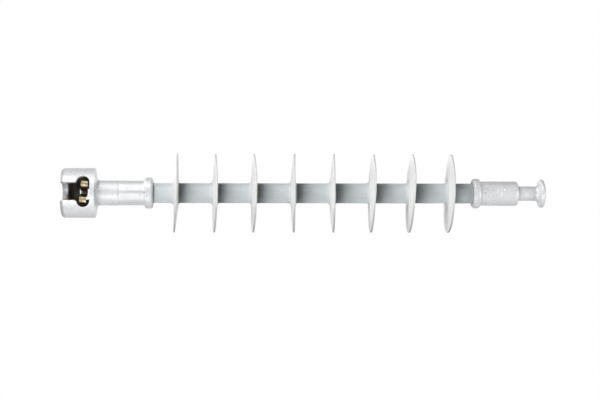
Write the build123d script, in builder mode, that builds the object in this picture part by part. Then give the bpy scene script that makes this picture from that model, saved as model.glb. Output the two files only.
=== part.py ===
from build123d import *
import math
import os

# Composite long-rod insulator with a ball and socket coupling, size 16.
#
# Frame: the insulator lies as it is strung, in tension. +X runs from the socket to the
# ball, +Z is up, and the head entry of the socket faces -Y. The origin is on the axis,
# at the ball seat: the inner face of the socket's lip, which carries the load.
# All sizes are in millimetres.

# ---- ball, size 16 ----
shank_dia = 17.0
shank_length = 19.6  # straight part between the barrel and the flare
ball_dia = 33.3
flare_length = 8.2  # from the shank to the rim of the ball
dome_rise = 5.4  # from the rim to the end of the ball
rim_round = 2.8

# ---- head of the socket ----
cap_dia = 58.4
lip_thickness = 10.6
lip_round = 5.0
seat_depth = 8.6  # room for the seated ball between the lip and the head entry
seat_play = 0.75  # round the ball in its seat
slot_play = 3.7  # the shank slot is wider than the shank by this
entry_play = 2.0  # the head entry is wider than the ball is high by this
entry_side_play = 2.9  # and taller than the ball's diameter by this
entry_floor = 5.2  # metal between the head entry and the edge of the shoulder
entry_corner = 2.4  # where the shank slot runs into the head entry
opening_round = 0.8  # along the edges of the head entry, the slot and the mouth
seat_chamfer = 4.0  # bearing cone for the ball, inside the lip
clip_hole_edge = 0.8
shoulder_rise = 2.8  # cone between the cap and the barrel
shoulder_root = 3.0  # fillet at the foot of the shoulder

# ---- barrels, collars and crimps ----
socket_barrel_dia = 29.3
socket_barrel_length = 55.0
socket_crimp_length = 31.5
socket_collar_height = 3.6  # above the barrel
ball_barrel_dia = 28.8
ball_barrel_length = 44.5
ball_crimp_length = 23.0
ball_collar_height = 3.1
barrel_end_round = 3.5
socket_collar_width = 10.0
ball_collar_width = 9.0
collar_round = 2.8
crimp_step = 0.15  # how far the crimping dies press the barrel in, on the radius
crimp_flats = 8
crimp_flat_depth = 0.45
crimp_lead = 1.2  # ramp at the edge of the crimped length

# ---- core rod, housing and seals ----
rod_dia = 16.0
socket_rod_length = 47.0  # rod inside the socket fitting, from the face of its collar
ball_rod_length = 38.0  # rod inside the ball fitting, from the face of its collar
bore_end_gap = 2.0  # behind each end of the rod
sheath_dia = 23.4
sheath_insert = 6.0  # sheath inside each collar
seal_width = 1.5  # ring of sealant round the sheath inside each collar
socket_seal_bead = 1.1  # sealant standing out of the collar
ball_seal_bead = 0.4
shed_count = 8
shed_pitch = 46.0
shed_dia = 93.0
shed_root = 6.2
shed_tip = 2.4
shed_root_round = 2.2
shed_tip_round = 0.9
first_shed_gap = 27.0  # from the face of the socket's collar to the first shed
last_shed_gap = 26.0  # from the last shed to the face of the ball's collar

# ---- locking clip ----
clip_width = 8.0
clip_thickness = 1.5
clip_bend = 2.4  # centre line radius of the tight bends
clip_leg_gap = 5.4  # between the centre lines of the two legs at the rear
clip_loop_gap = 5.6  # between the centre lines of one loop
clip_span = 24.3  # over the centre lines of the outer arms
clip_arm_length = 12.5
clip_arm_splay = 0.6  # outwards, at the end of each outer arm
clip_waist = 8.0  # where the legs begin to spread, behind the axis
clip_waist_bend = 12.0
clip_reach = 19.0  # from the axis to the front of the loops
clip_tail = 7.0  # loop left outside the cap to pull on
clip_offset = 0.4  # from the middle of the head entry, away from the lip
clip_hole_play = 2.0  # round the width of the clip in its hole
clip_hole_shift = 1.6  # from the middle of the head entry, towards the lip
clip_hole_height = 13.0
clip_hole_round = 1.5
clip_tilt = 2.6  # degrees, up at the back
clip_lean = 6.0  # degrees, to the side
clip_skew = 3.6  # degrees, towards the lip at the back

# ---- sizes that follow ----
ball_height = flare_length + dome_rise
cap_radius = cap_dia / 2
slot_width = shank_dia + slot_play
entry_width = ball_height + entry_play
entry_height = ball_dia + entry_side_play
seat_radius = ball_dia / 2 + seat_play
entry_middle = seat_depth + entry_width / 2
clip_x = entry_middle + clip_offset
shoulder_x = seat_depth + entry_width + entry_floor
socket_barrel_x = shoulder_x + shoulder_rise
socket_collar_x = socket_barrel_x + socket_barrel_length
socket_face_x = socket_collar_x + socket_collar_width
first_shed_x = socket_face_x + first_shed_gap
last_shed_x = first_shed_x + (shed_count - 1) * shed_pitch
ball_face_x = last_shed_x + last_shed_gap
ball_collar_x = ball_face_x + ball_collar_width
ball_barrel_x = ball_collar_x + ball_barrel_length
ball_flare_x = ball_barrel_x + shank_length
ball_rim_x = ball_flare_x + flare_length
ball_end_x = ball_rim_x + dome_rise
rod_radius = rod_dia / 2
sheath_radius = sheath_dia / 2
seal_radius = sheath_radius + seal_width


def corner(sketch, x, radius):
    """The corner of a profile at one place, for a fillet."""
    return sketch.vertices().sort_by_distance((x, radius, 0))[0]


def on_cap(edge):
    """Whether an edge lies on the outside of the socket's cap."""
    points = (edge @ 0, edge @ 0.5, edge @ 1)
    return all(abs(math.hypot(point.Y, point.Z) - cap_radius) < 0.01 for point in points)


def crimp(start, end, barrel_radius):
    """Press a barrel in from its collar to the crimp's far edge: a ramp there, and flats all round."""
    pressed = barrel_radius - crimp_step
    side = 1 if end > start else -1
    with BuildSketch(Plane.XY) as step_profile:
        with BuildLine():
            Polyline(
                (start, barrel_radius + 1),
                (start, pressed),
                (end - side * crimp_lead, pressed),
                (end, barrel_radius),
                (end, barrel_radius + 1),
                close=True,
            )
        make_face()
    revolve(step_profile.sketch, axis=Axis.X, mode=Mode.SUBTRACT)
    with BuildSketch(Plane.YZ.offset(start)) as flats:
        with PolarLocations(pressed - crimp_flat_depth + 1, crimp_flats, start_angle=180 / crimp_flats):
            Rectangle(2, barrel_radius)
    extrude(flats.sketch, amount=end - start - 2 * side * crimp_lead, mode=Mode.SUBTRACT)


# ---- core rod: glass fibre pultrusion, cut square ----
with BuildPart() as core_rod:
    with BuildSketch(Plane.YZ.offset(socket_face_x - socket_rod_length)):
        Circle(rod_radius)
    extrude(amount=socket_rod_length + ball_face_x - socket_face_x + ball_rod_length)

# ---- housing: sheath and sheds in one moulding over the rod ----
with BuildPart() as housing:
    with BuildSketch(Plane.XY) as housing_profile:
        sheath_start = socket_face_x - sheath_insert
        sheath_end = ball_face_x + sheath_insert
        with BuildLine():
            Polyline(
                (sheath_start, rod_radius),
                (sheath_start, sheath_radius),
                (sheath_end, sheath_radius),
                (sheath_end, rod_radius),
                close=True,
            )
        make_face()
        with BuildSketch(mode=Mode.PRIVATE) as shed_profile:
            with BuildLine():
                Polyline(
                    (-shed_root / 2, sheath_radius - 1),
                    (-shed_root / 2, sheath_radius),
                    (-shed_tip / 2, shed_dia / 2),
                    (shed_tip / 2, shed_dia / 2),
                    (shed_root / 2, sheath_radius),
                    (shed_root / 2, sheath_radius - 1),
                    close=True,
                )
            make_face()
        for shed in range(shed_count):
            with Locations((first_shed_x + shed * shed_pitch, 0)):
                add(shed_profile.sketch)
        for shed in range(shed_count):
            middle = first_shed_x + shed * shed_pitch
            for side in (-1, 1):
                root = corner(housing_profile, middle + side * shed_root / 2, sheath_radius)
                fillet(root, shed_root_round)
                tip = corner(housing_profile, middle + side * shed_tip / 2, shed_dia / 2)
                fillet(tip, shed_tip_round)
    revolve(axis=Axis.X)

# ---- socket fitting: one forging, bored, slotted and crimped on the rod ----
with BuildPart() as socket_fitting:
    socket_barrel_radius = socket_barrel_dia / 2
    socket_collar_radius = socket_barrel_radius + socket_collar_height
    socket_collar_round = min(collar_round, 0.9 * socket_collar_height)
    with BuildSketch(Plane.XY) as socket_profile:
        with BuildLine():
            Polyline(
                (-lip_thickness, 0),
                (-lip_thickness, cap_radius),
                (shoulder_x, cap_radius),
                (socket_barrel_x, socket_barrel_radius),
                (socket_collar_x, socket_barrel_radius),
                (socket_collar_x, socket_collar_radius),
                (socket_face_x, socket_collar_radius),
                (socket_face_x, seal_radius),
                (socket_face_x - sheath_insert, seal_radius),
                (socket_face_x - sheath_insert, rod_radius),
                (socket_face_x - socket_rod_length - bore_end_gap, rod_radius),
                (socket_face_x - socket_rod_length - bore_end_gap, 0),
                close=True,
            )
        make_face()
        fillet(corner(socket_profile, -lip_thickness, cap_radius), lip_round)
        fillet(corner(socket_profile, socket_barrel_x, socket_barrel_radius), shoulder_root)
        fillet(corner(socket_profile, socket_collar_x, socket_collar_radius), socket_collar_round)
        fillet(corner(socket_profile, socket_face_x, socket_collar_radius), socket_collar_round)
    revolve(axis=Axis.X)
    crimp(socket_collar_x, socket_collar_x - socket_crimp_length, socket_barrel_radius)
    # the seat: a round pocket behind the lip
    with BuildSketch(Plane.YZ):
        Circle(seat_radius)
    extrude(amount=entry_middle, mode=Mode.SUBTRACT)
    # the head chamber: the outline of the head entry turned about the axis
    with BuildSketch(Plane.XY):
        with Locations((entry_middle, 0)):
            SlotOverall(entry_height, entry_width, rotation=90)
        with Locations((entry_middle, 0)):
            Rectangle(entry_width, entry_height, align=(Align.CENTER, Align.MAX), mode=Mode.SUBTRACT)
    revolve(axis=Axis.X, mode=Mode.SUBTRACT)
    # the shank slot through the lip, round at its back
    with BuildSketch(Plane.YZ):
        Circle(slot_width / 2)
    extrude(amount=-lip_thickness, mode=Mode.SUBTRACT)
    # the head entry and the shank slot, open to the front
    with BuildSketch(Plane.XZ):
        with Locations((entry_middle, 0)):
            SlotOverall(entry_height, entry_width, rotation=90)
        with Locations((-lip_thickness, 0)):
            Rectangle(lip_thickness + entry_middle, slot_width, align=(Align.MIN, Align.CENTER))
        # grown and shrunk by one radius, which rounds only the corners where the two meet
        offset(amount=entry_corner, kind=Kind.ARC, mode=Mode.REPLACE)
        offset(amount=-entry_corner, kind=Kind.ARC, mode=Mode.REPLACE)
    extrude(amount=cap_radius, mode=Mode.SUBTRACT)
    fillet(edges(Select.LAST).filter_by(on_cap), opening_round)
    # the bearing cone for the ball, inside the lip
    with BuildSketch(Plane.XY):
        with BuildLine():
            Polyline(
                (0, 0),
                (0, slot_width / 2 + seat_chamfer),
                (-seat_chamfer, slot_width / 2),
                (-seat_chamfer, 0),
                close=True,
            )
        make_face()
    revolve(axis=Axis.X, mode=Mode.SUBTRACT)
    # the clip hole through the back
    with BuildSketch(Plane.XZ):
        with Locations((entry_middle - clip_hole_shift, 0)):
            RectangleRounded(clip_width + 2 * clip_hole_play, clip_hole_height, clip_hole_round)
    extrude(amount=-cap_radius, mode=Mode.SUBTRACT)
    fillet(edges(Select.LAST).filter_by(on_cap), clip_hole_edge)

# ---- ball fitting: one forging, bored and crimped on the rod ----
with BuildPart() as ball_fitting:
    ball_barrel_radius = ball_barrel_dia / 2
    ball_collar_radius = ball_barrel_radius + ball_collar_height
    ball_collar_round = min(collar_round, 0.9 * ball_collar_height)
    shank_radius = shank_dia / 2
    rim = Vector(ball_rim_x, ball_dia / 2 - rim_round)
    # the flare and the dome are arcs that meet the round of the rim tangentially
    rise = rim.Y - shank_radius
    flare_radius = (flare_length**2 + rise**2 - rim_round**2) / (2 * (rise + rim_round))
    flare_centre = Vector(ball_flare_x, shank_radius + flare_radius)
    flare_end = rim + (flare_centre - rim).normalized() * rim_round
    dome_step = dome_rise - rim_round
    dome_centre = Vector(ball_rim_x - (rim.Y**2 - dome_step**2) / (2 * dome_step), 0)
    dome_start = rim + (rim - dome_centre).normalized() * rim_round
    with BuildSketch(Plane.XY) as ball_profile:
        with BuildLine():
            outline = Polyline(
                (ball_flare_x, shank_radius),
                (ball_barrel_x, shank_radius),
                (ball_barrel_x, ball_barrel_radius),
                (ball_collar_x, ball_barrel_radius),
                (ball_collar_x, ball_collar_radius),
                (ball_face_x, ball_collar_radius),
                (ball_face_x, seal_radius),
                (ball_face_x + sheath_insert, seal_radius),
                (ball_face_x + sheath_insert, rod_radius),
                (ball_face_x + ball_rod_length + bore_end_gap, rod_radius),
                (ball_face_x + ball_rod_length + bore_end_gap, 0),
                (ball_end_x, 0),
            )
            TangentArc(outline @ 1, dome_start, tangent=(0, 1))
            ThreePointArc(dome_start, (ball_rim_x, ball_dia / 2), flare_end)
            TangentArc(outline @ 0, flare_end, tangent=(1, 0))
        make_face()
        fillet(corner(ball_profile, ball_barrel_x, ball_barrel_radius), barrel_end_round)
        fillet(corner(ball_profile, ball_collar_x, ball_collar_radius), ball_collar_round)
        fillet(corner(ball_profile, ball_face_x, ball_collar_radius), ball_collar_round)
    revolve(axis=Axis.X)
    crimp(ball_collar_x, ball_collar_x + ball_crimp_length, ball_barrel_radius)


def seal(face_x, outwards, bead):
    """The sealant in one collar: a ring round the sheath that ends in a rounded bead."""
    inner_x = face_x - outwards * sheath_insert
    bead_x = face_x + outwards * bead
    with BuildSketch(Plane.XY) as seal_profile:
        with BuildLine():
            Line((inner_x, seal_radius), (inner_x, sheath_radius))
            Line((inner_x, sheath_radius), (bead_x, sheath_radius))
            RadiusArc((bead_x, sheath_radius), (face_x, seal_radius), outwards * seal_width)
            Line((face_x, seal_radius), (inner_x, seal_radius))
        make_face()
    revolve(seal_profile.sketch, axis=Axis.X)


with BuildPart() as socket_end_seal:
    seal(socket_face_x, 1, socket_seal_bead)

with BuildPart() as ball_end_seal:
    seal(ball_face_x, -1, ball_seal_bead)

# ---- locking clip: one flat strip bent to a W, its loop passed out through the back ----
leg = clip_leg_gap / 2
arm = clip_span / 2
clip_rear = cap_radius + clip_tail
clip_half = [
    (clip_rear, leg),
    (clip_waist, leg),
    (-clip_reach, arm - clip_loop_gap),
    (-clip_reach, arm),
    (clip_arm_length - clip_reach, arm + clip_arm_splay),
]
bends = [clip_bend, clip_waist_bend, clip_bend, clip_bend]
clip_plane = Plane(origin=(clip_x, 0, 0), x_dir=(0, 1, 0), z_dir=(1, 0, 0))
with BuildPart() as locking_clip:
    with BuildLine(clip_plane) as clip_path:
        FilletPolyline(
            *[(along, -across) for along, across in reversed(clip_half)],
            *clip_half,
            radius=[*reversed(bends), *bends],
        )
    with BuildSketch(Plane(clip_path.line @ 0, x_dir=(1, 0, 0), z_dir=clip_path.line % 0)):
        Rectangle(clip_width, clip_thickness)
    sweep()
# the free clip leans to one side, rides up at the back and sits askew in its hole
clip_front = (clip_x, -clip_reach, 0)
locking_clip.part = locking_clip.part.rotate(Axis(clip_front, (0, 1, 0)), clip_lean)
locking_clip.part = locking_clip.part.rotate(Axis(clip_front, (1, 0, 0)), clip_tilt)
locking_clip.part = locking_clip.part.rotate(Axis(clip_front, (0, 0, 1)), clip_skew)

os.makedirs("parts", exist_ok=True)
for name, piece in {
    "core_rod": core_rod,
    "housing": housing,
    "socket_fitting": socket_fitting,
    "ball_fitting": ball_fitting,
    "socket_end_seal": socket_end_seal,
    "ball_end_seal": ball_end_seal,
    "locking_clip": locking_clip,
}.items():
    piece.part.label = name
    export_step(piece.part, f"parts/{name}.step")
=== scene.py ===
# %% [markdown]
# Composite long-rod insulator.
# The insulator is a glass fibre rod in a moulded silicone housing, with a forged and
# galvanised fitting crimped on each end. One fitting is a socket with a locking clip, the
# other a ball. The solids come in as a fixed frame, at their real size in metres: +X runs
# from the socket to the ball and +Z is up. Here they get their finish, and the soft
# housing is modelled again with the small irregularities that a moulding has.
# %% Load the frame
from math import atan2, cos, hypot, pi, radians, sin, tan

import bpy
from mathutils import Matrix, Vector


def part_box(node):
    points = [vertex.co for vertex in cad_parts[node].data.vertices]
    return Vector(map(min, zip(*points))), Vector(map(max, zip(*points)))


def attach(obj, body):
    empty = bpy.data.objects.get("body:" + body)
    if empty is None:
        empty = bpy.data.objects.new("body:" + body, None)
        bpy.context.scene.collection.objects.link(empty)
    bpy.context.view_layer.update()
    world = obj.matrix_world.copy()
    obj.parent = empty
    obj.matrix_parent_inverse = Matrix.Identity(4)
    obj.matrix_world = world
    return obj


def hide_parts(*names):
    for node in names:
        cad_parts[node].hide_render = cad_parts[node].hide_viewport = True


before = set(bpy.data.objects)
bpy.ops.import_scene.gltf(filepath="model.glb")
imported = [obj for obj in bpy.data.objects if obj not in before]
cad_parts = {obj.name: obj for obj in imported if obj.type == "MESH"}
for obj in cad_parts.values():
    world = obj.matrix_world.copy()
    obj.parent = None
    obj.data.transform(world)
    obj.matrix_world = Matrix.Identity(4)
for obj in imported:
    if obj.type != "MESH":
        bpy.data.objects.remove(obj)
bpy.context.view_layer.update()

print("nodes", sorted(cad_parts))

# %% [markdown]
# Sizes could be typed in again, but then they would part from the solids at the first
# change. They are read from the solids instead, so that every piece made here follows
# them. The boxes give the ends of the housing and the radii of the sheds, the rod and the
# seals, and the housing's own points give the place of each shed.
# %% Sizes read from the solids
MM = 0.001
seal_width = 1.5 * MM  # ring of sealant round the sheath
tip_share = 0.97  # points beyond this share of the sheds' radius belong to a rim
least_gap = 10 * MM  # rims further apart than this are two sheds

housing_low, housing_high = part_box("housing")
socket_low, socket_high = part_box("socket_fitting")
ball_low, ball_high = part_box("ball_fitting")
shed_radius = housing_high.y
rod_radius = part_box("core_rod")[1].z
sheath_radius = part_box("socket_end_seal")[1].z - seal_width
middle_x = (socket_low.x + ball_high.x) / 2

tips = sorted(
    point.co.x
    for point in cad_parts["housing"].data.vertices
    if hypot(point.co.y, point.co.z) > tip_share * shed_radius
)
rims_found = []
for x in tips:
    if not rims_found or x - rims_found[-1][-1] > least_gap:
        rims_found.append([x])
    rims_found[-1].append(x)
shed_places = [(min(group) + max(group)) / 2 for group in rims_found]
print(f"length {ball_high.x - socket_low.x:.4f} m, {len(shed_places)} sheds {2 * shed_radius:.3f} m across")
print("shed places", [round(x, 4) for x in shed_places])

# %% [markdown]
# The camera looks at the insulator from the side that the head entry faces, from a little
# below its own height. Turning the camera towards the middle of the insulator would make
# its two ends run together. So the camera stands square to it, nearer to the socket's
# end, and its lens is shifted to take in the whole length, as a view camera does. From
# this distance the sheds near the ball show more and more of their faces.
# %% Camera
view_distance = 1.80
view_height = -4.4  # degrees, below the axis
view_roll = 0.09  # degrees
aim = Vector((0.169, 0.0, -0.0081))
focal_length = 91.8  # in millimetres, as Blender has it
sideways_shift = 0.143  # share of the picture's width

height = radians(view_height)
towards_camera = Vector((0, -cos(height), sin(height)))
camera_data = bpy.data.cameras.new("camera")
camera_data.lens = focal_length
camera_data.shift_x = sideways_shift
camera_data.clip_end = 50
camera = bpy.data.objects.new("camera", camera_data)
bpy.context.scene.collection.objects.link(camera)
turn = towards_camera.to_track_quat("Z", "Y").to_matrix().to_4x4()
roll = Matrix.Rotation(radians(view_roll), 4, "Z")
camera.matrix_world = Matrix.Translation(aim + towards_camera * view_distance) @ turn @ roll
bpy.context.scene.camera = camera
bpy.context.scene.view_settings.view_transform = "Standard"
print("camera at", [round(c, 3) for c in camera.matrix_world.translation])

# %% [markdown]
# The world and every finish are trees of nodes. Three small helpers keep their code short:
# one adds a node, one joins two sockets, and one adds a node that does a sum.
# %% Node helpers
def add_node(tree, kind, **settings):
    """A node of a kind, with its settings."""
    node = tree.nodes.new(kind)
    for name, value in settings.items():
        setattr(node, name, value)
    return node


def join(tree, source, target):
    """A link from an output socket to an input socket."""
    tree.links.new(source, target)


def sum_up(tree, operation, first, second=None, third=None, clamp=False):
    """A math node; each term is a socket or a number."""
    node = add_node(tree, "ShaderNodeMath", operation=operation, use_clamp=clamp)
    for slot, term in enumerate((first, second, third)):
        if term is None:
            continue
        if isinstance(term, (int, float)):
            node.inputs[slot].default_value = term
        else:
            join(tree, term, node.inputs[slot])
    return node.outputs[0]


# %% [markdown]
# A part like this is shown on plain white. A bright world all round would give that, but
# it would also wash the shading off a pale object. The Light Path node tells what a ray is
# for: the world is white to the camera and through glass, a little over half as bright in
# reflections, and hardly lights anything else, so that the object keeps its dark edges.
# %% World
mirrored_share = 0.55  # brightness of the world in reflections
ambient_colour, ambient_strength = (0.96, 0.98, 1.0), 0.03


def background(tree, colour, strength):
    """A plain background of one colour."""
    node = add_node(tree, "ShaderNodeBackground")
    node.inputs["Color"].default_value = (*colour, 1)
    node.inputs["Strength"].default_value = strength
    return node.outputs[0]


world = bpy.data.worlds.new("white room")
bpy.context.scene.world = world
world.use_nodes = True
tree = world.node_tree
tree.nodes.clear()
path = add_node(tree, "ShaderNodeLightPath").outputs
white_share = sum_up(tree, "MAXIMUM", path["Is Camera Ray"], path["Is Transmission Ray"])
white_share = sum_up(tree, "MULTIPLY_ADD", path["Is Glossy Ray"], mirrored_share, white_share)
mix = add_node(tree, "ShaderNodeMixShader")
join(tree, white_share, mix.inputs[0])
join(tree, background(tree, ambient_colour, ambient_strength), mix.inputs[1])
join(tree, background(tree, (1, 1, 1), 1.0), mix.inputs[2])
join(tree, mix.outputs[0], add_node(tree, "ShaderNodeOutputWorld").inputs["Surface"])
print("world", len(tree.nodes), "nodes, strength away from the camera", ambient_strength)

# %% [markdown]
# The light comes from the socket's side. A tall soft box in front and above, and a weaker
# one below it, make the two pale bands that run along every round piece, and throw each
# shed's shadow on the sheath behind it. Two more, nearly in line with the insulator, light
# the near and the far half of the faces of the sheds. One at the other end lights the
# ball, where the last shed keeps its light off the rest, and a last one behind keeps the
# back from going dark. Point lamps would be simpler, but their bands and shadows would
# have hard edges.
# %% Lamps
sheds_target = (0.25, 0, 0)
ball_target = (0.50, 0, 0)
centre = (middle_x, 0, 0)


def soft_box(name, place, target, wide, high, power):
    """A rectangular lamp that faces a target and isn't seen by the camera."""
    data = bpy.data.lights.new(name, "AREA")
    data.shape = "RECTANGLE"
    data.size = wide
    data.size_y = high
    data.energy = power
    lamp = bpy.data.objects.new(name, data)
    bpy.context.scene.collection.objects.link(lamp)
    facing = (Vector(place) - Vector(target)).to_track_quat("Z", "Y").to_matrix().to_4x4()
    lamp.matrix_world = Matrix.Translation(place) @ facing
    lamp.visible_camera = False


soft_box("main soft box", (-0.40, -0.74, 1.30), sheds_target, 0.76, 0.50, 18.5)
soft_box("low soft box", (-0.40, -1.05, -0.92), sheds_target, 0.76, 0.35, 14.0)
soft_box("side soft box", (-1.50, -1.30, 0.20), centre, 0.8, 0.8, 9.0)
soft_box("far soft box", (-1.35, 0.90, 0.35), centre, 0.7, 1.0, 18.0)
soft_box("end soft box", (1.45, -0.60, -0.25), ball_target, 0.5, 0.6, 9.0)
soft_box("back soft box", (1.00, 1.20, 0.30), centre, 0.6, 0.8, 6.0)

# %% [markdown]
# The floor is a round sheet that lies well below, as the insulator is shown hanging free.
# It keeps what shadow the object throws. A round one has no corners to come into view.
# %% Floor
floor_radius, floor_height, floor_sides = 2.4, -1.2, 64


def mesh_object(name, points, faces, smooth=True):
    """An object from points and faces."""
    data = bpy.data.meshes.new(name)
    data.from_pydata(points, [], faces)
    data.update()
    if smooth:
        data.shade_smooth()
    piece = bpy.data.objects.new(name, data)
    bpy.context.scene.collection.objects.link(piece)
    return piece


floor_points = [(middle_x, 0, floor_height)]
for step in range(floor_sides):
    angle = 2 * pi * step / floor_sides
    floor_points.append((middle_x + floor_radius * cos(angle), floor_radius * sin(angle), floor_height))
floor_faces = [(0, 1 + step, 1 + (step + 1) % floor_sides) for step in range(floor_sides)]
floor = mesh_object("floor", floor_points, floor_faces, smooth=False)
print("floor at", floor_height)

# %% [markdown]
# Housing: sheath and sheds are one moulding of silicone rubber, turned here from one
# profile. Each shed is 6 mm thick at its root and thins out to a round rim. Both of its
# sides meet the sheath in a fillet, and the one on the socket's side is the larger. The
# solid could be bent with modifiers, but a profile of its own puts points just where the
# sheds bend and where the painted shadow around each shed lies.
# %% Profile of the housing
shed_root, shed_tip = 6.2 * MM, 2.4 * MM
socket_side_round, ball_side_round, tip_round = 4.2 * MM, 2.2 * MM, 0.9 * MM
rim = shed_radius - 0.25 * MM  # leaves room for the flash
flank_length = 30 * MM  # about, from the rim to the root
flank_start, flank_run = 0.06, 0.84  # the stretch of the flank that has points, as shares
curve_steps, flank_steps = 5, 8
bare_rings = (0.25, 0.5, 0.75)  # shares along each bare stretch of the sheath
# rings on the ball's side of each shed, where the painted shadow on the sheath fades out
corner_rings = (3 * MM, 6 * MM, 9 * MM, 12 * MM)  # behind each shed, where grime fades out
BARE = -1  # stands for the number of a shed on the bare sheath


def half_shed(root_round):
    """Points (offset from the middle, radius) down one side of a shed, from its rim to its root."""
    top, foot = Vector((shed_tip / 2, rim)), Vector((shed_root / 2, sheath_radius))
    flank = (foot - top).normalized()
    points = [(0.0, rim)]
    # round of the rim, from the middle to the flank
    centre_x, centre_r = shed_tip / 2 - tip_round, rim - tip_round
    for step in range(curve_steps + 1):
        angle = pi / 2 - (pi / 2 - atan2(flank.x, -flank.y)) * step / curve_steps
        points.append((centre_x + tip_round * cos(angle), centre_r + tip_round * sin(angle)))
    for step in range(1, flank_steps):
        place = top.lerp(foot, flank_start + flank_run * (step / flank_steps))
        points.append((place.x, place.y))
    # root fillet, as a curve from the flank to the sheath
    start = top.lerp(foot, 1 - root_round / flank_length)
    end = Vector((shed_root / 2 + root_round, sheath_radius))
    for step in range(curve_steps + 1):
        t = step / curve_steps
        place = start * (1 - t) ** 2 + foot * 2 * t * (1 - t) + end * t**2
        points.append((place.x, place.y))
    return points


def bare_stretch(start, end):
    """Rings along the bare sheath between two places."""
    return [(start + (end - start) * share, sheath_radius, BARE) for share in bare_rings]


socket_side, ball_side = half_shed(socket_side_round), half_shed(ball_side_round)
profile = [(housing_low.x, rod_radius, BARE), (housing_low.x, sheath_radius, BARE)]
for number, place in enumerate(shed_places):
    profile += bare_stretch(profile[-1][0], place - socket_side[-1][0])
    profile += [(place - across, radius, number) for across, radius in reversed(socket_side)]
    profile += [(place + across, radius, number) for across, radius in ball_side[1:]]
    profile += [(place + ball_side[-1][0] + gap, sheath_radius, BARE) for gap in corner_rings]
profile += bare_stretch(profile[-1][0], housing_high.x)
profile += [(housing_high.x, sheath_radius, BARE), (housing_high.x, rod_radius, BARE)]
print("profile", len(profile), "rings")

# %% [markdown]
# The real sheds are thin and soft, so each leans a little its own way, dishes, and waves
# at its rim, and some sag at the front. A cloth or soft body run could bend them, but not
# each in its own known way. So every point is pushed along the axis by a sum of these
# terms, which grow from the root to the rim. A fine line of flash runs along both sides,
# where the halves of the mould met, with rings of points close to it.
# %% Moulded housing
steps_round = 192
seam_tilt = 27  # degrees
seam_rings = (-1.4, -0.7, 0.7, 1.4)  # degrees off each seam
flash_height, flash_half, flash_margin = 0.22 * MM, radians(1.2), 3 * MM
bore_margin = 0.1 * MM  # points this far below the sheath's surface are in the bore
wave_height, wave_shift = 0.25 * MM, 1.7
sag_angle, sag_half = radians(108), radians(48)

# how far the top of each shed leans towards the ball, and its front, in degrees
lean_up = [3.2, 1.1, 1.4, 1.0, 0.9, 2.9, 4.3, 3.8]
lean_front = [2.5, 3.0, 2.4, -2.6, -4.4, -2.1, -1.2, -1.6]
# how far the rim of each shed stands off its root, and how far the front of its rim sags
# towards the socket, near its top
dish = [amount * MM for amount in (-0.6, -0.4, -0.6, 0.6, 1.5, 0.9, 0.2, -0.2)]
sag = [amount * MM for amount in (0.0, 0.4, 1.3, 0.2, 0.0, 0.6, 1.2, 1.2)]

seam_angles = [radians(180 + seam_tilt), radians(seam_tilt)]
angles = [2 * pi * step / steps_round for step in range(steps_round)]
for seam in seam_angles:
    angles += [seam + radians(side) for side in seam_rings]
angles = sorted(angle % (2 * pi) for angle in angles)
around = len(angles)
free_low, free_high = socket_high.x + flash_margin, ball_low.x - flash_margin


def flash_at(x, radius, angle):
    """How far the flash stands out, which is on the seams between the two fittings."""
    if not free_low < x < free_high or radius < sheath_radius - bore_margin:
        return 0.0
    off_seam = min(abs((angle - seam + pi) % (2 * pi) - pi) for seam in seam_angles)
    return flash_height * max(0.0, 1 - off_seam / flash_half)


def shed_push(radius, angle, number):
    """How far a point of a shed lies off its true place along the axis."""
    reach = radius - sheath_radius
    outwards = reach / (rim - sheath_radius)
    push = reach * tan(radians(lean_up[number])) * sin(angle)
    push -= reach * tan(radians(lean_front[number])) * cos(angle)
    push += (dish[number] + wave_height * sin(2 * angle + wave_shift * number)) * outwards**2
    push -= sag[number] * max(0.0, 1 - ((angle - sag_angle) / sag_half) ** 2) * outwards
    return push


points = []
for x, radius, number in profile:
    for angle in angles:
        push = 0.0 if number == BARE else shed_push(radius, angle, number)
        size = radius + flash_at(x, radius, angle)
        points.append((x + push, size * cos(angle), size * sin(angle)))
faces = []
for ring in range(len(profile)):
    here = ring * around
    onward = (ring + 1) % len(profile) * around
    for step in range(around):
        turned = (step + 1) % around
        faces.append((here + step, here + turned, onward + turned, onward + step))
housing = mesh_object("moulded_housing", points, faces)
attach(housing, "insulator")
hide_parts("housing")
print("housing", len(points), "points", len(faces), "faces")

# %% [markdown]
# A shadow is painted on the sheath around each shed: dark on the ball's side, where the
# shed's shadow falls, and a little on the socket's side. An ambient occlusion node could
# find the corners, but it would darken both sides of a shed alike. The painted shadow's
# share is worked out here instead, and kept at each point of the mesh, where the rubber's
# finish reads it. How dark it is painted is a guess.
# %% Painted shadow around the sheds
behind_reach, front_reach, up_reach = 16 * MM, 6 * MM, 9 * MM

painted_shed_shadow = housing.data.attributes.new("painted_shed_shadow", "FLOAT", "POINT")
shares = []
for x, radius, _ in profile:
    gaps = [(x - place) / behind_reach if x > place else (place - x) / front_reach for place in shed_places]
    share = max(0.0, 1 - min(gaps)) * max(0.0, 1 - (radius - sheath_radius) / up_reach)
    shares += [share * share * (3 - 2 * share)] * around
painted_shed_shadow.data.foreach_set("value", shares)
print("points in a corner", sum(share > 0 for share in shares))

# %% [markdown]
# The finishes share a few effects. Each is a node group that takes its own sizes through
# named sockets and puts out only a mask or a value, so that one effect can serve several
# materials at its own scale. The colours stay in the materials. Two helpers come first:
# one makes an empty group, the other a smooth step between two limits.
# %% Helpers for the effects
VECTOR, FLOAT = "NodeSocketVector", "NodeSocketFloat"


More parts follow.
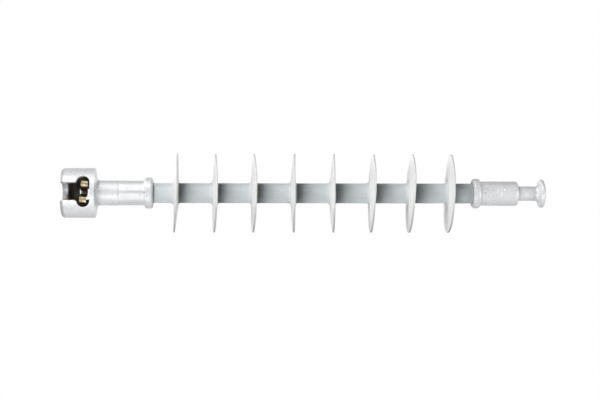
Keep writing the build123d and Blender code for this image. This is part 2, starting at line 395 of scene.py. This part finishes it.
def effect(name, takes, gives):
    """A node group with named sockets; returns it with its input and output nodes."""
    group = bpy.data.node_groups.new(name, "ShaderNodeTree")
    for label, kind, value in takes:
        socket = group.interface.new_socket(name=label, in_out="INPUT", socket_type=kind)
        if value is not None:
            socket.default_value = value
    group.interface.new_socket(name=gives, in_out="OUTPUT", socket_type=FLOAT)
    return group, group.nodes.new("NodeGroupInput"), group.nodes.new("NodeGroupOutput")


def smooth_step(tree, value, low, high, to_low=0.0, to_high=1.0):
    """A smooth step of a value between two limits."""
    node = add_node(tree, "ShaderNodeMapRange", interpolation_type="SMOOTHSTEP")
    for label, term in (("From Min", low), ("From Max", high), ("To Min", to_low), ("To Max", to_high)):
        if isinstance(term, (int, float)):
            node.inputs[label].default_value = term
        else:
            join(tree, term, node.inputs[label])
    join(tree, value, node.inputs["Value"])
    return node.outputs["Result"]


# %% [markdown]
# Patches: soft clouds of a given size, from 0 to 1, for tone that drifts over a surface.
# Nothing that was moulded, dipped or handled has one even tone. A noise texture has the
# right look once a smooth step has set how soft its edges are.
# %% Patches
patches, entry, leave = effect(
    "patches", [("Place", VECTOR, None), ("Size", FLOAT, 0.01), ("Softness", FLOAT, 0.3)], "Value"
)
cloud = add_node(patches, "ShaderNodeTexNoise")
cloud.inputs["Detail"].default_value = 4.0
cloud.inputs["Roughness"].default_value = 0.55
join(patches, entry.outputs["Place"], cloud.inputs["Vector"])
join(patches, sum_up(patches, "DIVIDE", 1.0, entry.outputs["Size"]), cloud.inputs["Scale"])
low = sum_up(patches, "SUBTRACT", 0.5, entry.outputs["Softness"])
high = sum_up(patches, "ADD", 0.5, entry.outputs["Softness"])
join(patches, smooth_step(patches, cloud.outputs[0], low, high), leave.inputs["Value"])
print("patches", len(patches.nodes), "nodes")

# %% [markdown]
# Spangle: zinc sets in crystals, each with its own tone. The cells of a Voronoi texture
# stand for them, and its smooth kind keeps their borders from looking drawn.
# %% Spangle
spangle, entry, leave = effect("spangle", [("Place", VECTOR, None), ("Size", FLOAT, 0.002)], "Value")
cells = add_node(spangle, "ShaderNodeTexVoronoi", feature="SMOOTH_F1")
cells.inputs["Smoothness"].default_value = 0.6
join(spangle, entry.outputs["Place"], cells.inputs["Vector"])
join(spangle, sum_up(spangle, "DIVIDE", 1.0, entry.outputs["Size"]), cells.inputs["Scale"])
split = add_node(spangle, "ShaderNodeSeparateColor")
join(spangle, cells.outputs["Color"], split.inputs[0])
join(spangle, split.outputs[0], leave.inputs["Value"])
print("spangle", len(spangle.nodes), "nodes")

# %% [markdown]
# Specks: small separate spots of dross or dirt. Every Voronoi cell has a dot at its
# middle, and the cell's own tone chooses whether the dot stays, so that the amount can
# change and the places don't.
# %% Specks
specks, entry, leave = effect(
    "specks", [("Place", VECTOR, None), ("Size", FLOAT, 0.003), ("Amount", FLOAT, 0.3)], "Mask"
)
dots = add_node(specks, "ShaderNodeTexVoronoi")
join(specks, entry.outputs["Place"], dots.inputs["Vector"])
join(specks, sum_up(specks, "DIVIDE", 1.0, entry.outputs["Size"]), dots.inputs["Scale"])
split = add_node(specks, "ShaderNodeSeparateColor")
join(specks, dots.outputs["Color"], split.inputs[0])
near = smooth_step(specks, dots.outputs["Distance"], 0.12, 0.32, 1.0, 0.0)
chosen = sum_up(specks, "LESS_THAN", split.outputs[1], entry.outputs["Amount"])
join(specks, sum_up(specks, "MULTIPLY", near, chosen), leave.inputs["Mask"])
print("specks", len(specks.nodes), "nodes")

# %% [markdown]
# Worn edges: what is handled and dropped is rubbed bright on its sharp edges. A bevel
# node rounds the normal off within a short distance, and where that differs from the
# true normal there is an edge. It finds the edges of any solid, with nothing painted.
# %% Worn edges
worn_edges, entry, leave = effect("worn edges", [("Width", FLOAT, 0.0008), ("Reach", FLOAT, 0.1)], "Mask")
bevel = add_node(worn_edges, "ShaderNodeBevel", samples=4)
join(worn_edges, entry.outputs["Width"], bevel.inputs["Radius"])
surface = add_node(worn_edges, "ShaderNodeNewGeometry")
dot = add_node(worn_edges, "ShaderNodeVectorMath", operation="DOT_PRODUCT")
join(worn_edges, bevel.outputs["Normal"], dot.inputs[0])
join(worn_edges, surface.outputs["Normal"], dot.inputs[1])
turned = sum_up(worn_edges, "SUBTRACT", 1.0, dot.outputs["Value"])
join(worn_edges, smooth_step(worn_edges, turned, 0.01, entry.outputs["Reach"]), leave.inputs["Mask"])
print("worn edges", len(worn_edges.nodes), "nodes")

# %% [markdown]
# Zone: a stretch along the axis and a band of radius round it, with soft limits. The
# insulator is a turned thing, so what changes from one part of a piece to the next can be
# said in these terms, and no piece needs a painted map. A limit that isn't given lies
# outside the insulator.
# %% Zone
zone, entry, leave = effect(
    "zone",
    [
        ("Place", VECTOR, None),
        ("Start", FLOAT, -1.0),
        ("End", FLOAT, 2.0),
        ("Inner", FLOAT, -0.01),
        ("Outer", FLOAT, 1.0),
        ("Soft", FLOAT, 0.001),
    ],
    "Mask",
)
parts = add_node(zone, "ShaderNodeSeparateXYZ")
join(zone, entry.outputs["Place"], parts.inputs[0])
square = sum_up(zone, "MULTIPLY", parts.outputs["Y"], parts.outputs["Y"])
square = sum_up(zone, "MULTIPLY_ADD", parts.outputs["Z"], parts.outputs["Z"], square)
radius = sum_up(zone, "SQRT", square)
limits = []
for value, limit, side in (
    (parts.outputs["X"], "Start", 1.0),
    (parts.outputs["X"], "End", -1.0),
    (radius, "Inner", 1.0),
    (radius, "Outer", -1.0),
):
    within = sum_up(zone, "SUBTRACT", value, entry.outputs[limit])
    within = sum_up(zone, "MULTIPLY", within, side)
    within = sum_up(zone, "DIVIDE", within, entry.outputs["Soft"])
    limits.append(sum_up(zone, "ADD", within, 0.5, clamp=True))
mask = limits[0]
for limit in limits[1:]:
    mask = sum_up(zone, "MULTIPLY", mask, limit)
join(zone, mask, leave.inputs["Mask"])
print("zone", len(zone.nodes), "nodes")

# %% [markdown]
# Spot: one soft-edged spot at a place, for a single mark. A random texture can't put a
# nick or the end of a crimp where it belongs.
# %% Spot
spot, entry, leave = effect(
    "spot",
    [("Place", VECTOR, None), ("Centre", VECTOR, None), ("Size", VECTOR, (0.002, 0.002, 0.002))],
    "Mask",
)
away = add_node(spot, "ShaderNodeVectorMath", operation="SUBTRACT")
join(spot, entry.outputs["Place"], away.inputs[0])
join(spot, entry.outputs["Centre"], away.inputs[1])
scaled = add_node(spot, "ShaderNodeVectorMath", operation="DIVIDE")
join(spot, away.outputs[0], scaled.inputs[0])
join(spot, entry.outputs["Size"], scaled.inputs[1])
far = add_node(spot, "ShaderNodeVectorMath", operation="LENGTH")
join(spot, scaled.outputs[0], far.inputs[0])
join(spot, smooth_step(spot, far.outputs["Value"], 0.4, 1.0, 1.0, 0.0), leave.inputs["Mask"])
print("spot", len(spot.nodes), "nodes")

# %% [markdown]
# Film: what settles on surfaces that face up, such as dust. The normal's height says how
# far a surface faces up, and patches break the film up.
# %% Film
film, entry, leave = effect(
    "film", [("Place", VECTOR, None), ("Size", FLOAT, 0.02), ("Amount", FLOAT, 0.5)], "Mask"
)
surface = add_node(film, "ShaderNodeNewGeometry")
parts = add_node(film, "ShaderNodeSeparateXYZ")
join(film, surface.outputs["Normal"], parts.inputs[0])
facing_up = smooth_step(film, parts.outputs["Z"], -0.3, 1.0)
broken = add_node(film, "ShaderNodeGroup", node_tree=patches)
broken.inputs["Softness"].default_value = 0.25
join(film, entry.outputs["Place"], broken.inputs["Place"])
join(film, entry.outputs["Size"], broken.inputs["Size"])
settled = sum_up(film, "MULTIPLY", facing_up, broken.outputs["Value"])
join(film, sum_up(film, "MULTIPLY", settled, entry.outputs["Amount"]), leave.inputs["Mask"])
print("effects", sorted(group.name for group in bpy.data.node_groups))

# %% [markdown]
# A finish is built up as a painter would: a ground colour, and then one layer after
# another, each put on through the mask of an effect. These helpers keep each layer to one
# line, which is easier to read and change than a tree drawn node by node.
# %% Layering helpers
def material_tree(name):
    """A new material, its node tree and its Principled shader."""
    material = bpy.data.materials.new(name)
    material.use_nodes = True
    return material, material.node_tree, material.node_tree.nodes["Principled BSDF"]


def own_place(tree):
    """The place on the object, in metres."""
    return add_node(tree, "ShaderNodeTexCoord").outputs["Object"]


def stretched(tree, place, scale):
    """The place, scaled differently along each axis, so that an effect runs in streaks."""
    node = add_node(tree, "ShaderNodeMapping")
    node.inputs["Scale"].default_value = scale
    join(tree, place, node.inputs["Vector"])
    return node.outputs[0]


def use(tree, group, place=None, **values):
    """An effect in a material, at a place and with its own values."""
    node = add_node(tree, "ShaderNodeGroup", node_tree=group)
    if place is not None:
        join(tree, place, node.inputs["Place"])
    for label, value in values.items():
        node.inputs[label].default_value = value
    return node.outputs[0]


def layer(tree, below, above, mask, strength=1.0):
    """Mixes a colour over another by a mask; a colour is a socket or a tuple."""
    node = add_node(tree, "ShaderNodeMix", data_type="RGBA")
    colours = [socket for socket in node.inputs if socket.type == "RGBA"]
    for socket, term in zip(colours, (below, above)):
        if isinstance(term, tuple):
            socket.default_value = (*term, 1)
        else:
            join(tree, term, socket)
    join(tree, sum_up(tree, "MULTIPLY", mask, strength, clamp=True), node.inputs[0])
    return next(socket for socket in node.outputs if socket.type == "RGBA")


def blend(tree, mask, low, high):
    """A value that goes from low to high with a mask."""
    node = add_node(tree, "ShaderNodeMapRange")
    node.inputs["To Min"].default_value = low
    node.inputs["To Max"].default_value = high
    join(tree, mask, node.inputs["Value"])
    return node.outputs["Result"]


def relief(tree, shader, value, depth):
    """A bump from a value, in metres of depth."""
    node = add_node(tree, "ShaderNodeBump")
    node.inputs["Distance"].default_value = depth
    join(tree, value, node.inputs["Height"])
    join(tree, node.outputs[0], shader.inputs["Normal"])


# %% [markdown]
# Galvanised steel: the forged fittings are dipped in molten zinc, which sets in a matt,
# faintly crystalline coat with duller patches, some dross and a few dark pinholes. The
# coat is thin and rubbed bright on the sharp edges. The end at the socket's mouth is
# painted dark, and the chamber of the socket nearly black, both as painted shade. The slot
# is painted a dark brown. Single marks have spots of their own, listed with their places
# in metres, among them a band of painted shade across the cap and painted highlights on
# the ball's crimp. The zinc could be a plain bright metal, but this coat is matt and
# hardly metallic, so most of its tone is colour.
# %% Galvanised steel
zinc, tree, shader = material_tree("galvanised steel")
place = own_place(tree)
drift = use(tree, patches, place, Size=0.016, Softness=0.22)
fine = use(tree, patches, place, Size=0.0035, Softness=0.25)
crystal = use(tree, spangle, place, Size=0.0028)
pits = use(tree, specks, place, Size=0.0045, Amount=0.16)
edges = use(tree, worn_edges, Width=0.0009, Reach=0.12)
# the end at the socket's mouth, painted dark as painted shade
mouth_end_painted_shade = use(tree, zone, place, End=socket_low.x + 3.6 * MM, Soft=0.0035)
# the socket's chamber, painted nearly black as painted shade
chamber_painted_shade = use(tree, zone, place, Start=-0.0035, End=0.0285, Outer=0.0205, Soft=0.002)
colour = layer(tree, (0.74, 0.75, 0.765), (0.63, 0.64, 0.65), drift, 0.55)
colour = layer(tree, colour, (0.90, 0.91, 0.92), crystal, 0.16)
colour = layer(tree, colour, (0.50, 0.51, 0.52), fine, 0.30)
colour = layer(tree, colour, (0.30, 0.30, 0.29), pits, 0.35)
colour = layer(tree, colour, (0.92, 0.93, 0.93), edges, 0.5)
for at, size, tone, strength in (
    # on the socket: a band of painted shade across the middle of the cap, edge of the crimp, scratch along
    # the barrel, nick and stain
    ((0.0180, -0.029, -0.0005), (0.0240, 0.020, 0.0085), (0.56, 0.57, 0.58), 0.30),
    ((0.0568, -0.018, 0.0), (0.0007, 0.03, 0.012), (0.45, 0.46, 0.47), 0.45),
    ((0.0750, -0.018, 0.0005), (0.0230, 0.01, 0.0007), (0.45, 0.46, 0.48), 0.50),
    ((0.0871, -0.018, -0.0012), (0.0011, 0.01, 0.0012), (0.22, 0.22, 0.22), 0.80),
    ((0.0330, -0.030, 0.0060), (0.0030, 0.01, 0.0010), (0.40, 0.41, 0.42), 0.45),
    # on the ball's barrel: three painted highlights on the crimp's edges and two dark specks
    ((0.5005, -0.015, 0.0020), (0.0010, 0.01, 0.0040), (0.97, 0.97, 0.97), 0.70),
    ((0.5045, -0.015, -0.0010), (0.0009, 0.01, 0.0050), (0.97, 0.97, 0.97), 0.60),
    ((0.5084, -0.015, 0.0030), (0.0016, 0.01, 0.0013), (1.0, 1.0, 1.0), 0.90),
    ((0.4862, -0.015, -0.0005), (0.0010, 0.01, 0.0014), (0.25, 0.25, 0.24), 0.70),
    ((0.4890, -0.015, 0.0035), (0.0008, 0.01, 0.0009), (0.30, 0.30, 0.29), 0.60),
):
    colour = layer(tree, colour, tone, use(tree, spot, place, Centre=at, Size=size), strength)
# painted shade at the socket's mouth
colour = layer(tree, colour, (0.25, 0.26, 0.26), mouth_end_painted_shade, 0.75)
# painted shade in the chamber
colour = layer(tree, colour, (0.060, 0.054, 0.042), chamber_painted_shade, 0.93)
# the slot, painted a dark brown
slot_brown = use(tree, spot, place, Centre=(-0.0020, 0.0, -0.0060), Size=(0.0110, 0.024, 0.0095))
colour = layer(tree, colour, (0.24, 0.19, 0.13), slot_brown, 0.9)
join(tree, colour, shader.inputs["Base Color"])
join(tree, blend(tree, drift, 0.45, 0.60), shader.inputs["Roughness"])
# less metallic shine in the painted shade of the chamber
join(tree, blend(tree, chamber_painted_shade, 0.28, 0.0), shader.inputs["Metallic"])
relief(tree, shader, sum_up(tree, "MULTIPLY_ADD", fine, 0.6, crystal), 0.00005)
print("zinc", len(tree.nodes), "nodes")

# %% [markdown]
# Silicone rubber: the housing is moulded in a pale blue-grey compound with a soft satin
# skin. The compound runs along the sheath in faint streaks. As it is handled it takes a
# film of dust, most of it on the sheds. The sheds are painted paler than the sheath as
# painted light, their rims darker and darkest at the bottom as painted shade, and the
# sheath around each shed dark as painted shadow. Separate materials would show a border,
# so one finish has soft zones, as the real housing is one rubber.
# %% Silicone rubber
silicone, tree, shader = material_tree("silicone rubber")
place = own_place(tree)
drift = use(tree, patches, place, Size=0.03, Softness=0.25)
cloudy = use(tree, patches, place, Size=0.007, Softness=0.25)
streaks = use(tree, patches, stretched(tree, place, (0.06, 1.0, 1.0)), Size=0.0030, Softness=0.12)
dust = use(tree, film, place, Size=0.012, Amount=0.5)
dirt = use(tree, specks, place, Size=0.006, Amount=0.10)
# the painted shadow around each shed, read from the mesh
grime_and_painted_shadow = add_node(tree, "ShaderNodeAttribute", attribute_name="painted_shed_shadow").outputs["Fac"]
# the rims, painted darker as painted shade
rims_painted_shade = use(tree, zone, place, Inner=shed_radius - 0.8 * MM, Soft=0.0006)
parts = add_node(tree, "ShaderNodeSeparateXYZ")
join(tree, place, parts.inputs[0])
# the bottom of the rims, painted darker still as painted shade
rim_bottom_painted_shade = sum_up(tree, "MULTIPLY", rims_painted_shade, smooth_step(tree, parts.outputs["Z"], -0.042, -0.004, 1.0, 0.0))
# the sheds, painted paler than the sheath as painted light on their faces
sheds_painted_paler = use(tree, zone, place, Inner=sheath_radius + 1.5 * MM, Soft=0.003)
colour = layer(tree, (0.555, 0.595, 0.61), (0.605, 0.635, 0.65), drift, 0.6)
colour = layer(tree, colour, (0.50, 0.54, 0.55), cloudy, 0.12)
colour = layer(tree, colour, (0.47, 0.51, 0.53), streaks, 0.30)
# painted light on the sheds, then painted shade on the rims and at their bottom
colour = layer(tree, colour, (0.89, 0.895, 0.885), sheds_painted_paler, 0.92)
colour = layer(tree, colour, (0.74, 0.74, 0.73), rims_painted_shade, 0.8)
colour = layer(tree, colour, (0.36, 0.36, 0.34), rim_bottom_painted_shade, 0.75)
# painted shadow: the sheath around each shed is painted dark
colour = layer(tree, colour, (0.14, 0.145, 0.145), grime_and_painted_shadow, 0.88)
colour = layer(tree, colour, (0.80, 0.80, 0.78), dust, 0.25)
colour = layer(tree, colour, (0.40, 0.39, 0.36), dirt, 0.22)
join(tree, colour, shader.inputs["Base Color"])
join(tree, blend(tree, cloudy, 0.42, 0.5), shader.inputs["Roughness"])
shader.inputs["Specular IOR Level"].default_value = 0.2
grain = use(tree, patches, place, Size=0.0012, Softness=0.3)
relief(tree, shader, grain, 0.00002)
housing.data.materials.append(silicone)
print("silicone", len(tree.nodes), "nodes")

# %% [markdown]
# Phosphor bronze: the clip is bent from rolled strip, which keeps fine lines along its
# length. It is bright on the outside of the bends. Where it lies inside the chamber it is
# painted nearly black, as painted shade. Metal in the dark would still mirror the lamps
# through the slot, so the zone inside takes most of its metallic shine too.
# %% Phosphor bronze
bronze, tree, shader = material_tree("phosphor bronze")
place = own_place(tree)
streaks = use(tree, patches, stretched(tree, place, (1.0, 0.08, 1.0)), Size=0.0012, Softness=0.2)
tarnish = use(tree, patches, place, Size=0.0045, Softness=0.14)
stains = use(tree, specks, place, Size=0.002, Amount=0.2)
edges = use(tree, worn_edges, Width=0.0004, Reach=0.15)
# the clip inside the chamber, painted nearly black as painted shade
inside_painted_shade = use(tree, zone, place, Start=-0.05, End=0.05, Outer=0.0185, Soft=0.003)
colour = layer(tree, (0.50, 0.40, 0.24), (0.22, 0.155, 0.075), tarnish, 0.9)
colour = layer(tree, colour, (0.78, 0.70, 0.52), streaks, 0.45)
colour = layer(tree, colour, (0.20, 0.13, 0.07), stains, 0.5)
colour = layer(tree, colour, (0.85, 0.76, 0.58), edges, 0.5)
# painted shade inside the chamber
colour = layer(tree, colour, (0.02, 0.015, 0.010), inside_painted_shade, 0.96)
join(tree, colour, shader.inputs["Base Color"])
join(tree, blend(tree, tarnish, 0.32, 0.48), shader.inputs["Roughness"])
# the painted shade inside also takes away most of the metallic shine
join(tree, blend(tree, inside_painted_shade, 0.6, 0.1), shader.inputs["Metallic"])
relief(tree, shader, streaks, 0.00002)
print("bronze", len(tree.nodes), "nodes")

# %% [markdown]
# Sealant: a bead of silicone sealant, run round by hand where the sheath enters each
# collar. It sets dull, collects dirt and is never quite even. The unevenness is a bump of
# a third of a millimetre, which is enough for so thin a bead.
# %% Sealant
sealant, tree, shader = material_tree("sealant")
place = own_place(tree)
lumps = use(tree, patches, place, Size=0.003, Softness=0.25)
grime_and_painted_shadow = use(tree, patches, place, Size=0.001, Softness=0.2)
colour = layer(tree, (0.24, 0.24, 0.20), (0.36, 0.36, 0.31), lumps, 0.8)
colour = layer(tree, colour, (0.12, 0.12, 0.10), grime_and_painted_shadow, 0.35)
join(tree, colour, shader.inputs["Base Color"])
join(tree, blend(tree, lumps, 0.5, 0.68), shader.inputs["Roughness"])
relief(tree, shader, lumps, 0.0003)
print("sealant", len(tree.nodes), "nodes")

# %% [markdown]
# Glass fibre: the core is drawn through a die, so its fibres run along it in pale streaks
# under a thin skin of greenish resin. It is hidden once the housing is on, so a few
# layers are enough: patches drawn out along the rod make the fibres.
# %% Glass fibre
fibre, tree, shader = material_tree("glass fibre")
place = own_place(tree)
strands = use(tree, patches, stretched(tree, place, (0.03, 1.0, 1.0)), Size=0.0009, Softness=0.2)
resin = use(tree, patches, place, Size=0.02, Softness=0.25)
colour = layer(tree, (0.55, 0.56, 0.42), (0.72, 0.73, 0.60), strands, 0.8)
colour = layer(tree, colour, (0.42, 0.40, 0.25), resin, 0.25)
join(tree, colour, shader.inputs["Base Color"])
join(tree, blend(tree, resin, 0.3, 0.45), shader.inputs["Roughness"])
relief(tree, shader, strands, 0.00003)
print("fibre", len(tree.nodes), "nodes")

# %% [markdown]
# White paper: a sweep of matt paper under the insulator, with the faint tooth that paper
# has. In a studio it is bent up behind the object. Here it fades out towards its edge
# instead, so that no line shows where it ends, from whichever side it is seen.
# %% White paper
paper, tree, shader = material_tree("white paper")
place = own_place(tree)
tooth = use(tree, patches, place, Size=0.004, Softness=0.3)
join(tree, layer(tree, (0.95, 0.95, 0.95), (0.90, 0.90, 0.90), tooth, 0.5), shader.inputs["Base Color"])
join(tree, blend(tree, tooth, 0.85, 0.95), shader.inputs["Roughness"])
relief(tree, shader, tooth, 0.0001)
seen_part = use(tree, spot, place, Centre=(middle_x, 0, floor_height), Size=(1.1, 1.1, 1.1))
gone = add_node(tree, "ShaderNodeBsdfTransparent")
fade = add_node(tree, "ShaderNodeMixShader")
join(tree, seen_part, fade.inputs[0])
join(tree, gone.outputs[0], fade.inputs[1])
join(tree, shader.outputs[0], fade.inputs[2])
join(tree, fade.outputs[0], tree.nodes["Material Output"].inputs["Surface"])
floor.data.materials.append(paper)
print("paper", len(tree.nodes), "nodes")

# %% [markdown]
# The solids that stay take their finishes here. Both fittings are dipped in the same
# bath, and both seals are run from the same tube, so each pair shares one material.
# %% Finish the solids
def wear(node, material):
    """Give a carried-over solid its finish."""
    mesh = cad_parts[node].data
    mesh.materials.clear()
    mesh.materials.append(material)


for node, material in {
    "socket_fitting": zinc,
    "ball_fitting": zinc,
    "locking_clip": bronze,
    "socket_end_seal": sealant,
    "ball_end_seal": sealant,
    "core_rod": fibre,
}.items():
    wear(node, material)
    print(node, "wears", material.name)
